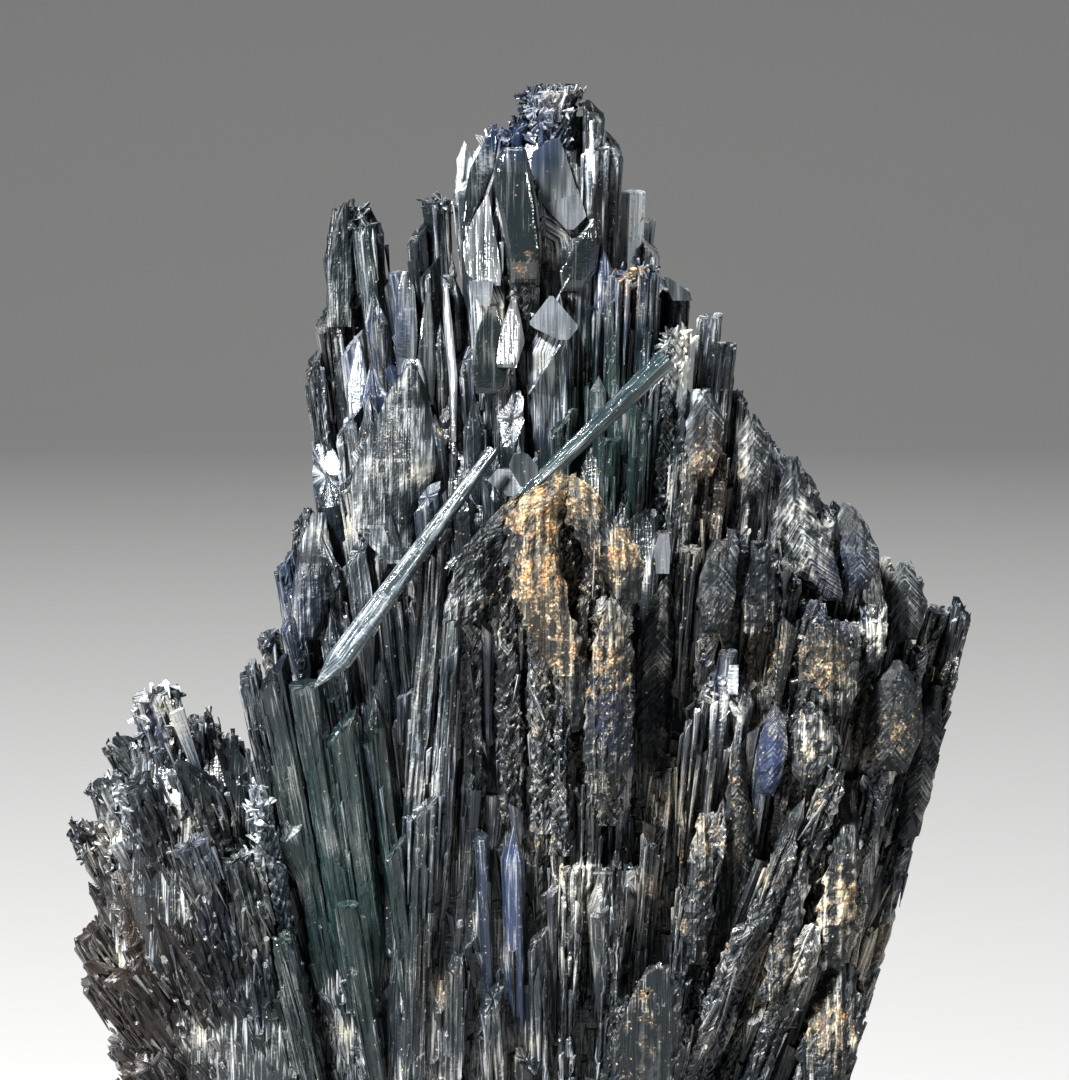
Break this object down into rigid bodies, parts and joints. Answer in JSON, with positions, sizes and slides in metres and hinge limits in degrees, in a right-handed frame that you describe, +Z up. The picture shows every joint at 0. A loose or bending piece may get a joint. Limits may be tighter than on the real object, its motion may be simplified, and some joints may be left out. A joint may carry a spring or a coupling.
{
  "type": "vivianite crystal",
  "caption": "Dark blue-green vivianite specimen: a fan of upright bladed crystals with a low radiating lobe at one side, cut off flat at the foot to stand.",
  "frame": {"origin": "on the flat cut under the foot, below the sheaf of upright blades", "axes": "+Z up along the blades, +X to the right as seen by a viewer on -Y, with the low lobe on -X; -Y is the front"},
  "size_m": [0.0643, 0.0355, 0.0843],
  "materials": {
    "vivianite": "vitreous, finely striated, near-black blue-green with ochre staining"
  },
  "bodies": {
    "root": {"crystal_cluster": "vivianite"}
  },
  "joints": []
}
